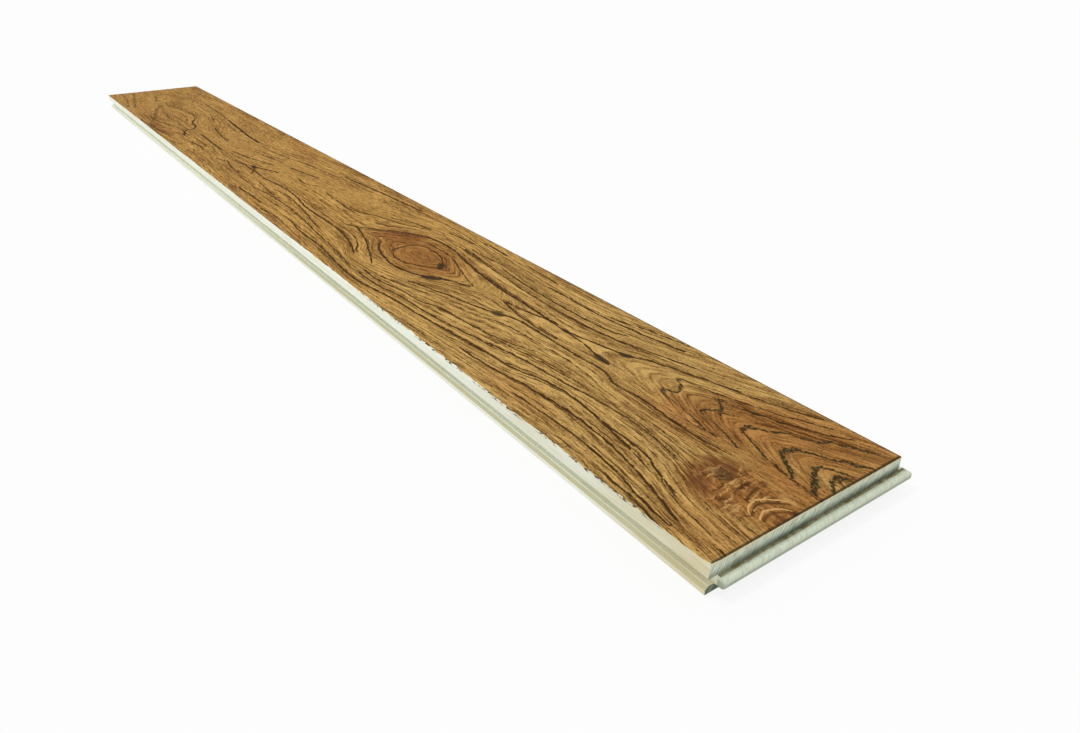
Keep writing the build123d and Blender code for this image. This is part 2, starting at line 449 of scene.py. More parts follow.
class Value:
    """A socket of a node tree, with Python's operators as Math nodes."""

    def __init__(self, nodes, socket):
        self.nodes = nodes
        self.socket = socket

    def math(self, operation, *others, clamp=False):
        inputs = dict(enumerate((self, *others)))
        return self.nodes.add("ShaderNodeMath", {"operation": operation, "use_clamp": clamp}, inputs)

    def other(self, operation, first):
        return self.nodes.add("ShaderNodeMath", {"operation": operation}, {0: first, 1: self})

    def __add__(self, term):
        return self.math("ADD", term)

    def __sub__(self, term):
        return self.math("SUBTRACT", term)

    def __mul__(self, term):
        return self.math("MULTIPLY", term)

    def __truediv__(self, term):
        return self.math("DIVIDE", term)

    def __pow__(self, term):
        return self.math("POWER", term)

    def __radd__(self, term):
        return self.other("ADD", term)

    def __rsub__(self, term):
        return self.other("SUBTRACT", term)

    def __rmul__(self, term):
        return self.other("MULTIPLY", term)

    def __rtruediv__(self, term):
        return self.other("DIVIDE", term)

    def __abs__(self):
        return self.math("ABSOLUTE")

    def least(self, term):
        return self.math("MINIMUM", term)

    def most(self, term):
        return self.math("MAXIMUM", term)

    def above(self, term):
        return self.math("GREATER_THAN", term)

    def clamped(self):
        """The value, kept from 0 to 1."""
        return self.math("ADD", 0.0, clamp=True)

    def share(self, base, more):
        """Base where this is 0, and base plus more where this is 1."""
        return base + self * more

    def swing(self):
        """A noise value, counted from its middle."""
        return self - NOISE_MIDDLE

    def step(self, level, border):
        """Ramp across a border, which is given by its two ends as seen from a level."""
        return self.ramp(level + border[0], level + border[1])

    def ramp(self, low, high):
        """0 at low and 1 at high, with a soft start and end. High may be the smaller one."""
        settings = {"interpolation_type": "SMOOTHSTEP"}
        if low < high:
            return self.nodes.add("ShaderNodeMapRange", settings, {0: self, 1: low, 2: high, 3: 0, 4: 1})
        return self.nodes.add("ShaderNodeMapRange", settings, {0: self, 1: high, 2: low, 3: 1, 4: 0})


class Nodes:
    """Adds nodes to a tree."""

    def __init__(self, tree):
        self.tree = tree
        self.groups = {}

    def add(self, kind, settings=None, inputs=None, output=0):
        """A new node's output: its settings are set first, then the values or links of its sockets."""
        node = self.tree.nodes.new(kind)
        for name, setting in (settings or {}).items():
            if name == "curve":
                self.shape_curve(node, setting)
            elif getattr(node, name) != setting:
                setattr(node, name, setting)
        for key, value in (inputs or {}).items():
            if isinstance(value, Value):
                self.tree.links.new(value.socket, node.inputs[key])
            else:
                node.inputs[key].default_value = value
        return Value(self, node.outputs[output]) if node.outputs else None

    def shape_curve(self, node, points):
        """Gives a Float Curve node its points: as many as needed are added first, then all are placed."""
        line = node.mapping.curves[0]
        while len(line.points) < len(points):
            line.points.new(0.5, 0.5)
        for spot, place in zip(line.points, points):
            spot.location = place
        node.mapping.update()

    def group(self, name, build, **inputs):
        """Result of a node group, made at its first use: build turns its inputs into the result."""
        if name not in self.groups:
            tree = bpy.data.node_groups.new(name, self.tree.bl_idname)
            for item in inputs:
                tree.interface.new_socket(item, in_out="INPUT", socket_type="NodeSocketFloat")
            tree.interface.new_socket("result", in_out="OUTPUT", socket_type="NodeSocketFloat")
            inner = Nodes(tree)
            given = inner.add("NodeGroupInput").socket.node.outputs
            result = build(*[Value(inner, given[item]) for item in inputs])
            inner.add("NodeGroupOutput", None, {0: result})
            self.groups[name] = tree
        return self.add(GROUP_NODES[self.tree.bl_idname], {"node_tree": self.groups[name]}, inputs)

    def split(self, vector):
        node = self.add("ShaderNodeSeparateXYZ", None, {0: vector}).socket.node
        return [Value(self, socket) for socket in node.outputs]

    def join(self, x, y, z=0.0):
        return self.add("ShaderNodeCombineXYZ", None, {0: x, 1: y, 2: z})

    def noise(self, x, y, z=0.0, detail=2.0, roughness=0.5):
        """Smooth noise, mostly from 0.3 to 0.7, with features about one unit long."""
        inputs = {"Vector": self.join(x, y, z), "Scale": 1.0, "Detail": detail, "Roughness": roughness}
        return self.add("ShaderNodeTexNoise", {"noise_dimensions": "3D"}, inputs)

    def grain(self, first, second, kind):
        """Noise of a kind, which gives its two sizes in millimetres, slice, detail and roughness."""
        first_size, second_size, *others = kind
        return self.noise(first / first_size, second / second_size, *others)

    def streaks(self, value, kind):
        """Noise of a kind that changes in one direction: its size, its two slices and its detail."""
        size, *others = kind
        return self.noise(value / size, *others)

    def blend(self, factor, first, second, kind="MIX"):
        """A colour between the first and the second, or the first tinted by the second."""
        inputs = {MIX_FACTOR: factor, MIX_FIRST: first, MIX_SECOND: second}
        return self.add("ShaderNodeMix", {"data_type": "RGBA", "blend_type": kind}, inputs, MIX_RESULT)


def rgba(colour):
    return (*colour, 1.0)


def curve_of(nodes, variable, points, low, high):
    """How far the variable is through some points (variable, value), and their curve, from 0 to 1."""
    points = sorted(points)
    start = points[0][0]
    length = points[-1][0] - start
    share = variable.math("MULTIPLY_ADD", 1 / length, -start / length, clamp=True)
    shape = [((place - start) / length, (value - low) / (high - low)) for place, value in points]
    return share, nodes.add("ShaderNodeFloatCurve", {"curve": shape}, {"Factor": 1.0, "Value": share})


# Where a traced line fades: gaps from its middle, in half widths, and near its tips the product of the
# shares of its length that lie before and after a place
LINE_FADE = (1.4, 0.1)
TIP_FADE = (0.0, 0.04)


def nearer_line(value, path, share, half_width, strength, nearest):
    """How near a traced line is, from 0 to 1 on the line and less at its tips, or a nearer line."""
    gap = abs(value - path * FACE_SPAN) / half_width
    tip = (share * (1 - share)).ramp(*TIP_FADE)
    return nearest.most(gap.ramp(*LINE_FADE) * tip * strength)


def traced_lines(nodes, variable, value, lines):
    """How near the nearest of the traced lines is, from 0 to 1 on a line."""
    nearest = 0.0
    for half_width, strength, points in lines:
        share, path = curve_of(nodes, variable, points, 0, FACE_SPAN)
        nearest = nodes.group(
            "nearer_line",
            nearer_line,
            value=value,
            path=path,
            share=share,
            half_width=half_width,
            strength=strength,
            nearest=nearest,
        )
    return nearest


def stronger_patch(
    along, across, middle, height, half_length, half_width, turn, strength, fray, soft, mask
):
    """Mask of a turned oval with a soft, frayed border, or a stronger one."""
    ahead = along - middle
    aside = across - height
    cosine = turn.math("COSINE")
    sine = turn.math("SINE")
    first = (ahead * cosine + aside * sine) / half_length
    second = (aside * cosine - ahead * sine) / half_width
    inside = (1 - (first * first + second * second + fray)) / (1 - soft)
    return mask.most(inside.ramp(0.0, 1.0) * strength)


def patches(nodes, along, across, areas, fray, soft):
    """Masks of turned ovals, the strongest one at each place."""
    mask = 0.0
    for middle, height, half_length, half_width, turn, strength in areas:
        mask = nodes.group(
            "stronger_patch",
            stronger_patch,
            along=along,
            across=across,
            middle=middle,
            height=height,
            half_length=half_length,
            half_width=half_width,
            turn=math.radians(turn),
            strength=strength,
            fray=fray,
            soft=soft,
            mask=mask,
        )
    return mask


def flow_step(flow, across, low, high, step):
    """The flow, raised by a step between two of its lines."""
    return flow + (across - low).math("DIVIDE", high - low, clamp=True) * step


# Rings round the heart: how pointed they are, where their values start, and their gap to the flow lines
RING_POWER = 1.5
RING_START = 200
HEART_MARGIN = 1.5


def grain_flow(nodes, along, across):
    """A value that is the same along the grain, in millimetres across it, and a mask of the heart."""
    floor, ceiling = FLOW_RANGE
    sides = [
        curve_of(nodes, along, points, *FLOW_RANGE)[1].math("MULTIPLY_ADD", ceiling - floor, floor)
        for level, points in FLOW_LINES
    ]
    levels = [level for level, points in FLOW_LINES]
    flow = (across - sides[0]).least(0.0) + levels[0]
    for low, high, level, following in zip(sides, sides[1:], levels, levels[1:]):
        step = following - level
        flow = nodes.group("flow_step", flow_step, flow=flow, across=across, low=low, high=high, step=step)
    flow = flow + (across - sides[-1]).most(0.0)
    heart = curve_of(nodes, along, HEART_LINE, 0, FACE_SPAN)[1] * FACE_SPAN
    depth = curve_of(nodes, along, HEART_DEPTH, 0, FACE_SPAN)[1] * FACE_SPAN
    bow = abs(across - heart) ** RING_POWER + depth ** RING_POWER
    rings = bow ** (1 / RING_POWER) + RING_START
    low = sides[HEART_SIDES[0]]
    high = sides[HEART_SIDES[1]]
    inside = (across - low).least(high - across).above(HEART_MARGIN)
    return flow + inside * (rings - flow), inside


# Waver of the figure: its noise, and how far it moves all lines along and across, and arches along as well
WAVER = (9, 5, 0.0, 3.0)
WAVER_ALONG = 3.0
WAVER_ACROSS = 2.0
ARCH_WAVER = 5.0
# Fray and softness of the borders of patches
MARK_BORDER = (1.2, 0.35)
CALM_BORDER = (0.8, 0.3)
PALE_BORDER = (1.2, 0.3)
RED_BORDER = (0.6, 0.1)
BLOTCH_BORDER = (1.4, 0.2)
BLOTCH_SPECKS = 0.6
BURL_BORDER = (0.6, 0.2)


def frayed_patches(nodes, along, across, areas, jitter, border):
    """Patches whose borders fray with the waver of the figure."""
    fray, soft = border
    return patches(nodes, along, across, areas, jitter * fray, soft)


def face_figure(nodes, along, across):
    """Traced lines, arches and marks of the face, and the wavering coordinates that they follow."""
    jitter = nodes.grain(along, across, WAVER).swing()
    across = across + jitter * WAVER_ACROSS
    along = along + jitter * WAVER_ALONG
    lines = traced_lines(nodes, along, across, LINES_ALONG)
    arches = traced_lines(nodes, across, along + jitter * ARCH_WAVER, LINES_ACROSS)
    for start, beyond in LINES_BEYOND:
        arches = arches.most(traced_lines(nodes, across, along - start, beyond))
    return {
        "lines": lines,
        "arches": arches,
        "marks": frayed_patches(nodes, along, across, DARK_MARKS, jitter, MARK_BORDER),
        "jitter": jitter,
        "along": along,
        "across": across,
    }


# Noise of the grain: width across it and length along it in millimetres, slice, detail and maybe roughness
BEND = (17, 190, 1.0, 1.0)
SHOWN = (3.0, 45, 7.0, 1.0)
BOLD = (7.0, 90, 17.0, 2.0)
CLOUD = (14, 130, 11.0, 2.0)
BROAD = (4.0, 110, 13.0, 2.0)
STREAK = (1.6, 36, 2.0, 3.0, 0.62)
FIBRE = (0.8, 10, 9.0, 1.0)
PORE = (0.7, 6.0, 4.0, 1.0)
# Noise of the pores' depth, straight along the board: width, length, slice and detail
PIT = (0.7, 9.0, 4.0, 1.0)
# Noise that doesn't follow the grain: length along the board and width across it, slice and detail
SPECK = (1.6, 0.9, 3.0, 1.0)
SWIRL_LENGTH = 2.0
SWIRL_WIDTH = 13
SWIRL_WAVER = 3.0
SWIRL_SLICE = 6.0
SWIRL_DETAIL = 2.0
# Growth rings and seasons of wide pores: pitch, bend, and where in each one the pores fade out and in
RING_PITCH = 3.1
RING_BEND = 4.0
RING_PORES_OUT = (0.26, 0.0)
RING_PORES_IN = (0.0, 0.06)
SEASON_PITCH = 8.0
SEASON_BEND = 2.6
SEASON_PORES_OUT = (0.17, 0.02)
SEASON_PORES_IN = (0.0, 0.03)
# Noise levels between which a thing fades in
SHOWN_LEVELS = (0.4, 0.56)
BOLD_LEVELS = (0.42, 0.54)
PALE_FIBRE_LEVELS = (0.62, 0.42)
BLOTCH_FIBRE_LEVELS = (0.35, 0.6)
PALE_SWIRL_LEVELS = (0.54, 0.7)
DARK_SWIRL_LEVELS = (0.47, 0.32)
PIT_LEVELS = (0.5, 0.7)
# Shares of a ring's pores that show always and more in places, and what the heart and calm areas take away
RING_PORES = (0.15, 0.75)
HEART_CALM = 0.8
CALM_EVENNESS = 0.8
# How much each noise darkens the stain, and stretches of the board over which its colour changes
SHADE_BASE = 0.42
FAR_SHADE = 0.1
FAR_STRETCH = (680.0, 900.0)
GOLDEN_STRETCH = (150.0, 480.0)
CLOUD_SHADE = 0.9
BROAD_SHADE = 1.3
STREAK_SHADE = 2.0
FIBRE_SHADE = 1.6
SPECK_SHADE = 1.1
RING_SHADE = 0.2
RING_SLOPE = (0.6, 0.0)
# Blotches and burl: strengths, and how much of the figure's waver the burl's swirls leave out
BLOTCH_STRENGTH = (0.55, 0.45)
SWIRL_STRENGTH = 0.7
BURL_STEADY_ALONG = 2.0
BURL_STEADY_ACROSS = 1.2
DARK_SWIRL_STRENGTH = 0.85
PALE_SWIRL_STRENGTH = 0.9
PALE_SWIRL_SPECKS = 1.6
PALE_SWIRL_FADE = (0.3, 1.0)
# Dark lines, arches and marks: strengths, grit that breaks them up, and where they set in
LINE_STRENGTH = 0.95
MARK_STRENGTH = 0.9
GRIT_PORES = 1.6
GRIT_SPECKS = 0.6
LOOSE_SHARE = 0.8
LOOSE_BASE = 0.12
LINE_LEVELS = (0.36, 0.68)
ARCH_SHARE = 0.95
ARCH_SPECKS = 2.2
ARCH_LEVELS = (0.46, 0.78)
ARCH_HALO = 0.4


def stained_colour(nodes, along, across, finish):
    """Colour of the stained face, and how far its pores sink in."""
    figure = face_figure(nodes, along, across)
    jitter = figure["jitter"]
    along = figure["along"]
    across = figure["across"]
    flow, heart = grain_flow(nodes, along, across)

    bend = nodes.grain(flow, along, BEND)
    ring = (flow / RING_PITCH + bend * RING_BEND).math("FRACT")
    shown = nodes.grain(flow, along, SHOWN).ramp(*SHOWN_LEVELS)
    early = ring.ramp(*RING_PORES_OUT) * ring.ramp(*RING_PORES_IN) * shown.share(*RING_PORES)
    season = (flow / SEASON_PITCH + bend * SEASON_BEND).math("FRACT")
    bold = season.ramp(*SEASON_PORES_OUT) * season.ramp(*SEASON_PORES_IN)
    bold = bold * nodes.grain(flow, along, BOLD).ramp(*BOLD_LEVELS)
    calm = frayed_patches(nodes, along, across, CALM_AREAS, jitter, CALM_BORDER)
    early = early.most(bold) * (1 - heart * HEART_CALM) * (1 - calm)
    cloud = nodes.grain(flow, along, CLOUD)
    broad = nodes.grain(flow, along, BROAD)
    streak = nodes.grain(flow, along, STREAK)
    fibre = nodes.grain(flow, along, FIBRE)
    pore = nodes.grain(flow, along, PORE)
    speck = nodes.grain(along, across, SPECK)
    grit = pore.swing() * GRIT_PORES + speck.swing() * GRIT_SPECKS

    even = 1 - calm * CALM_EVENNESS
    shade = SHADE_BASE + along.ramp(*FAR_STRETCH) * FAR_SHADE + cloud.swing() * CLOUD_SHADE
    shade = shade + (broad.swing() * BROAD_SHADE + streak.swing() * STREAK_SHADE) * even
    shade = shade + fibre.swing() * FIBRE_SHADE + speck.swing() * SPECK_SHADE
    shade = shade + ring.ramp(*RING_SLOPE) * even * RING_SHADE
    tone = nodes.blend(shade.clamped(), rgba(finish.light), rgba(finish.brown))
    tone = nodes.blend(along.ramp(*GOLDEN_STRETCH), tone, rgba(finish.golden), "MULTIPLY")
    light = frayed_patches(nodes, along, across, PALE_AREAS, jitter, PALE_BORDER)
    tone = nodes.blend(light * fibre.ramp(*PALE_FIBRE_LEVELS), tone, rgba(finish.pale))
    red = frayed_patches(nodes, along, across, RED_AREAS, jitter, RED_BORDER)
    tone = nodes.blend(red, tone, rgba(finish.red), "MULTIPLY")

    fray, soft = BLOTCH_BORDER
    specked = jitter * fray + speck.swing() * BLOTCH_SPECKS
    blotch = patches(nodes, along, across, DARK_BLOTCHES, specked, soft)
    blotch = blotch * fibre.ramp(*BLOTCH_FIBRE_LEVELS).share(*BLOTCH_STRENGTH)
    tone = nodes.blend(blotch, tone, rgba(finish.blotch))

    burl = frayed_patches(nodes, along, across, BURL, jitter, BURL_BORDER)
    waved = along / SWIRL_LENGTH + jitter * SWIRL_WAVER
    swirl = nodes.noise(waved, across / SWIRL_WIDTH, SWIRL_SLICE, SWIRL_DETAIL)
    tone = nodes.blend(burl * swirl.ramp(*PALE_SWIRL_LEVELS) * SWIRL_STRENGTH, tone, rgba(finish.pale))
    tone = nodes.blend(burl * swirl.ramp(*DARK_SWIRL_LEVELS) * SWIRL_STRENGTH, tone, rgba(finish.line))
    smooth_along = along - jitter * BURL_STEADY_ALONG
    smooth_across = across - jitter * BURL_STEADY_ACROSS
    dark_swirl = traced_lines(nodes, smooth_across, smooth_along, LINES_SWIRL)
    tone = nodes.blend(dark_swirl * DARK_SWIRL_STRENGTH, tone, rgba(finish.line))
    pale_swirl = traced_lines(nodes, smooth_across, smooth_along, LINES_PALE)
    pale_swirl = (pale_swirl + speck.swing() * PALE_SWIRL_SPECKS).ramp(*PALE_SWIRL_FADE)
    tone = nodes.blend(pale_swirl * PALE_SWIRL_STRENGTH, tone, rgba(finish.pale))

    loose = early * LOOSE_SHARE + LOOSE_BASE
    dark = (figure["lines"].most(loose) + grit).ramp(*LINE_LEVELS)
    tone = nodes.blend(dark * LINE_STRENGTH, tone, rgba(finish.line))
    arch = (figure["arches"] * ARCH_SHARE + speck.swing() * ARCH_SPECKS).ramp(*ARCH_LEVELS)
    arch = arch.most(figure["arches"] * ARCH_HALO)
    tone = nodes.blend(arch * LINE_STRENGTH, tone, rgba(finish.arch))
    tone = nodes.blend(figure["marks"] * MARK_STRENGTH, tone, rgba(finish.mark))
    return tone, nodes.grain(across, along, PIT).ramp(*PIT_LEVELS)


# Raw wood: stretches of the board, in millimetres from the near end, over which its colour changes
NEAR_STRETCH = (190.0, 20.0)
TAN_STRETCH = (70.0, 5.0)
DULL_STRETCH = (800.0, 350.0)
UPPER_STRETCH = (320.0, 60.0)
PAINTED_SHADE_STRETCH = (200.0, 100.0)
# Strips across the board, in millimetres from the groove side
GROOVE_STRIP = (20.0, 10.0)
UNDER_LIP_SHADE_STRIP = (2.0, 30.0)
SHADOW_STRIP = (2.0, 16.0)
# Borders in height, in millimetres from the tongue's foot
GROOVE_FLOOR_BORDER = (-0.3, -0.1)
MOUTH_FOOT_BORDER = (-1.9, -1.5)
MOUTH_TOP_BORDER = (-0.1, -0.3)
LOWER_BORDER = (-1.5, -1.9)
LOWER_LIP_BORDER = (0.2, -0.4)
# Borders in height, in millimetres from the tongue's top
GROOVE_TOP_BORDER = (0.2, 0.05)
UPPER_BORDER = (0.0, 0.3)
UNDER_LIP_BORDER = (5.0, -0.4)
LOW_NOSE_BORDER = (-1.4, -3.0)
TONGUE_LEVEL = -0.1
# Borders in height, in millimetres from the face, of a tan strip under the end's arris
STRIP_FOOT_BORDER = (-2.0, -1.4)
STRIP_TOP_BORDER = (-0.5, -0.8)
# Where the end tongue starts along the board, and borders on it as shares of its reach
TONGUE_BORDER = (0.0, -0.1)
SHOULDER_LEVEL = -0.05
RESIDUE_BORDER = (0.46, 0.3)
SHADOW_BORDER = (0.18, 0.02)
# Noise of the raw sides: sizes along the board, in height and across it, detail and roughness
SIDE_STREAK = (60, 1.1, 1.1, 3.0, 0.6)
SIDE_CLOUD = (35, 4, 9, 2.0, 0.5)
# Noise of the raw ends: sizes and lean of its strokes, and kinds of the ragged borders and of the rust
STROKE_WIDTH = 0.8
STROKE_LEAN = 1.4
STROKE_HEIGHT = 7
STROKE_LENGTH = 2
STROKE_DETAIL = 2.0
RAGGED_END = (9, 3, 2.0, 3.0)
RUST = (6, 5.0, 1.0, 2.0)
# Noise levels between which a thing fades in
SIDE_STREAK_LEVELS = (0.44, 0.66)
SIDE_CLOUD_LEVELS = (0.4, 0.62)
STROKE_LEVELS = (0.44, 0.6)
RUST_LEVELS = (0.42, 0.58)
# Strengths of the colours of the raw sides: a pair is a strength everywhere and how much more in places
STREAK_STRENGTH = (0.4, 0.4)
TAN_CLOUDS = (0.15, 0.2)
NEAR_TAN = 0.6
# Painted light: less tan inside the groove, so that its shaded interior reads lighter
GROOVE_PAINTED_LIGHT = 0.6
# Painted shade: khaki on the groove's mouth and inside the groove
MOUTH_SHADE = 0.85
GROOVE_SHADE = 0.15
LOWER_DULL = 0.1
UPPER_DULL = 0.3
DULL_STRENGTH = (0.35, 0.65)
# Strengths of the colours of the raw ends, among them painted shade and a painted shadow, and how far their
# ragged borders move
STROKE_STRENGTH = 0.7
TONGUE_CLEAN = 0.45
UNDER_LIP_SHADE = (0.5, 0.38)
LOWER_LIP_SHADE = 0.9
STROKES_IN_SHADE = 0.5
SHADE_RAGGED = 3
STRIP_TAN = 0.6
# Painted shade on the lower part of the tongue's nose
LOW_NOSE_SHADE = 0.65
RUST_BASE = 0.7
RUST_MORE = 0.3
RESIDUE_RAGGED = 0.3
PAINTED_SHADOW = 0.8


def side_noise(nodes, along, across, height, kind):
    """Noise of a kind on the raw sides."""
    length, rise, width, detail, roughness = kind
    return nodes.noise(along / length, height / rise, across / width, detail, roughness)


def side_colour(nodes, along, across, height, tongue_top, tongue_foot, finish):
    """Colour of the raw long sides and of the underside, with painted light and painted shade in the
    groove.
    """
    near = along.ramp(*NEAR_STRETCH)
    streak = side_noise(nodes, along, across, height, SIDE_STREAK).ramp(*SIDE_STREAK_LEVELS)
    colour = nodes.blend(streak * near.share(*STREAK_STRENGTH), rgba(finish.raw), rgba(finish.raw_streak))
    cloudy = side_noise(nodes, along, across, height, SIDE_CLOUD).ramp(*SIDE_CLOUD_LEVELS)
    inside = height.step(tongue_foot, GROOVE_FLOOR_BORDER) * height.step(tongue_top, GROOVE_TOP_BORDER)
    tan = along.ramp(*TAN_STRETCH) * NEAR_TAN + cloudy * near.share(*TAN_CLOUDS)
    # Painted light: the tan is taken back inside the groove, so that the shaded groove reads lighter
    tan = tan * (1 - inside * GROOVE_PAINTED_LIGHT)
    colour = nodes.blend(tan.clamped(), colour, rgba(finish.tan))
    mouth = height.step(tongue_foot, MOUTH_FOOT_BORDER) * height.step(tongue_foot, MOUTH_TOP_BORDER)
    lower = height.step(tongue_foot, LOWER_BORDER)
    upper = height.step(tongue_top, UPPER_BORDER) * along.ramp(*UPPER_STRETCH)
    # Painted shade: khaki on the groove's mouth and inside the groove; on the lips it is the wood's own
    # duller tone
    dull_and_shade = mouth * MOUTH_SHADE + inside * GROOVE_SHADE + lower * LOWER_DULL
    dull_and_shade = dull_and_shade * along.ramp(*DULL_STRETCH).share(*DULL_STRENGTH) + upper * UPPER_DULL
    return nodes.blend(dull_and_shade * across.ramp(*GROOVE_STRIP), colour, rgba(finish.khaki))


def raw_colour(nodes, along, across, height, end_mask, up_mask, shape, finish):
    """Colour of the raw sides and ends, with painted shade and a painted shadow at the near end."""
    top = BOARD_HIGH.z / MM
    tongue_top = top - shape.wear_layer / MM
    tongue_foot = tongue_top - shape.tongue / MM
    reach = shape.reach / MM
    long_grain = side_colour(nodes, along, across, height, tongue_top, tongue_foot, finish)

    leaning = across / STROKE_WIDTH - height / STROKE_LEAN
    stroke = nodes.noise(leaning, height / STROKE_HEIGHT, along / STROKE_LENGTH, STROKE_DETAIL)
    stroke = stroke.ramp(*STROKE_LEVELS)
    end_tongue = along.ramp(*TONGUE_BORDER) * height.above(tongue_foot)
    pores = stroke * (STROKE_STRENGTH - end_tongue * TONGUE_CLEAN)
    end_grain = nodes.blend(pores, rgba(finish.end), rgba(finish.end_pores_and_shade))
    ragged = nodes.grain(across, height, RAGGED_END).swing()
    # Painted shade: at the near end, the lower part of the lip's end face and the lower lip's end are
    # darkened as if in shadow
    shade_strip = across.ramp(*UNDER_LIP_SHADE_STRIP)
    under_lip = (height + ragged * SHADE_RAGGED).step(tongue_top, UNDER_LIP_BORDER)
    under_lip = under_lip * height.above(tongue_top + TONGUE_LEVEL)
    lower_lip = height.step(tongue_foot, LOWER_LIP_BORDER) * (1 - stroke * STROKES_IN_SHADE)
    painted_shade = under_lip * along.above(SHOULDER_LEVEL) * shade_strip.share(*UNDER_LIP_SHADE)
    painted_shade = painted_shade.most(lower_lip * LOWER_LIP_SHADE)
    end_grain = nodes.blend(painted_shade * along.ramp(*PAINTED_SHADE_STRETCH), end_grain, rgba(finish.painted_shade))
    under_arris = height.step(top, STRIP_FOOT_BORDER) * height.step(top, STRIP_TOP_BORDER)
    end_grain = nodes.blend(under_arris * STRIP_TAN, end_grain, rgba(finish.tan))
    # Painted shade: the lower part of the tongue's nose is darkened with the pores' colour
    low_nose = end_tongue * height.step(tongue_top, LOW_NOSE_BORDER)
    end_grain = nodes.blend(low_nose * LOW_NOSE_SHADE, end_grain, rgba(finish.end_pores_and_shade))

    out = (0 - along) / reach + ragged * RESIDUE_RAGGED
    tongue_face = end_tongue * up_mask
    rust = RUST_BASE + RUST_MORE * nodes.streaks(across, RUST).ramp(*RUST_LEVELS)
    end_grain = nodes.blend(tongue_face * rust * out.ramp(*RESIDUE_BORDER), end_grain, rgba(finish.residue))
    # Painted shadow: the lip's shadow on the inner part of the tongue's top
    shadowed = tongue_face * across.ramp(*SHADOW_STRIP) * out.ramp(*SHADOW_BORDER)
    end_grain = nodes.blend(shadowed * PAINTED_SHADOW, end_grain, rgba(finish.painted_shade))
    return nodes.blend(end_mask.most(end_tongue), long_grain, end_grain)


# Where a surface counts as an end, or faces up, by its normal
END_NORMAL = (0.6, 0.85)
UP_NORMAL = (0.3, 0.7)
# Border of the stain: how far below the face it ends and how ragged it is, there and along the worn arris
RAGGED_NOISE = (3, 1.5, 8.0, 2.0)
STAIN_DEPTH = (0.75, 0.6)
STAIN_RAGGED = 0.3
WORN_STRIP = (6.0, 3.0)
WORN_DEPTH = (0.25, 0.45)
WORN_RAGGED = 0.5
# Spots of stain on the worn arris: their noise, where they show in depth, and across and along the board
SPOT_NOISE = (4.0, 0.8, 5.0, 2.0)
SPOT_LEVELS = (0.51, 0.56)
SPOT_TOP = (0.1, 0.25)
SPOT_FOOT = (1.7, 1.0)
SPOT_STRIP = (3.0, 1.0)
SPOT_GROUP = (22, 3.0, 1.0, 1.0)
SPOT_GROUP_LEVELS = (0.42, 0.52)
SPOT_FAR = (380.0, 260.0)
SPOT_NEAR = (20.0, 45.0)
# Dark rim of the face
RIM_BORDER = (1.5, 0.6)
RIM_STRENGTH = 0.8
# Gloss: the raw wood's roughness, how much less the lacquer has, its coat, and the depth of the pores
RAW_ROUGHNESS = 0.65
LACQUER_GLOSS = 0.17
COAT_WEIGHT = 0.06
COAT_ROUGHNESS = 0.3
PIT_STRENGTH = 0.35
PIT_DEPTH = 0.2 * MM


def face_axes(x, y, shape):
    """Places along and across the face, and its length and width, in millimetres."""
    near_end = BOARD_HIGH.x - shape.reach
    along = (near_end - x) / MM
    across = (y - BOARD_LOW.y) / MM
    length = (near_end - BOARD_LOW.x) / MM
    width = (BOARD_HIGH.y - shape.reach - BOARD_LOW.y) / MM
    return along, across, length, width


def wood_material(shape, finish):
    """Stained and lacquered on the face, raw elsewhere."""
    material = bpy.data.materials.new("floorboard_wood")
    material.use_nodes = True
    tree = material.node_tree
    tree.nodes.clear()
    nodes = Nodes(tree)
    x, y, z = nodes.split(nodes.add("ShaderNodeTexCoord", None, None, "Object"))
    along, across, length, width = face_axes(x, y, shape)
    height = z / MM
    top = BOARD_HIGH.z / MM
    normal = nodes.split(nodes.add("ShaderNodeNewGeometry", None, None, "True Normal"))
    end_mask = abs(normal[0]).ramp(*END_NORMAL)

    # The raw wood comes before the stained face, because in the other order the shader runs out of room
    up_mask = normal[2].ramp(*UP_NORMAL)
    raw = raw_colour(nodes, along, across, height, end_mask, up_mask, shape, finish)
    ragged = nodes.grain(along, across, RAGGED_NOISE)
    dropped = top - height
    face_mask = (dropped + ragged.swing() * STAIN_RAGGED).ramp(*STAIN_DEPTH)
    worn_edge = across.ramp(*WORN_STRIP) * (dropped + ragged.swing() * WORN_RAGGED).ramp(*WORN_DEPTH)
    stain = face_mask * (1 - worn_edge)
    spots = nodes.grain(along, dropped, SPOT_NOISE).ramp(*SPOT_LEVELS)
    spots = spots * dropped.ramp(*SPOT_TOP) * dropped.ramp(*SPOT_FOOT) * across.ramp(*SPOT_STRIP)
    spots = spots * nodes.streaks(along, SPOT_GROUP).ramp(*SPOT_GROUP_LEVELS)
    spots = spots * along.ramp(*SPOT_FAR) * along.ramp(*SPOT_NEAR)
    raw = nodes.blend(spots, raw, rgba(finish.edge))

    stained, pits = stained_colour(nodes, along, across, finish)
    rim = along.least(width - across).least(length - along)
    stained = nodes.blend(rim.ramp(*RIM_BORDER) * RIM_STRENGTH, stained, rgba(finish.edge))
    colour = nodes.blend(stain, raw, stained)

    pores = {"Strength": PIT_STRENGTH, "Distance": PIT_DEPTH, "Height": 1 - pits * stain}
    bump = nodes.add("ShaderNodeBump", None, pores)
    shader = nodes.add(
        "ShaderNodeBsdfPrincipled",
        None,
        {
            "Base Color": colour,
            "Roughness": RAW_ROUGHNESS - LACQUER_GLOSS * stain,
            "Specular IOR Level": 0.0,
            "Coat Weight": COAT_WEIGHT * stain,
            "Coat Roughness": COAT_ROUGHNESS,
            "Normal": bump,
        },
    )
    nodes.add("ShaderNodeOutputMaterial", None, {"Surface": shader})
    return material


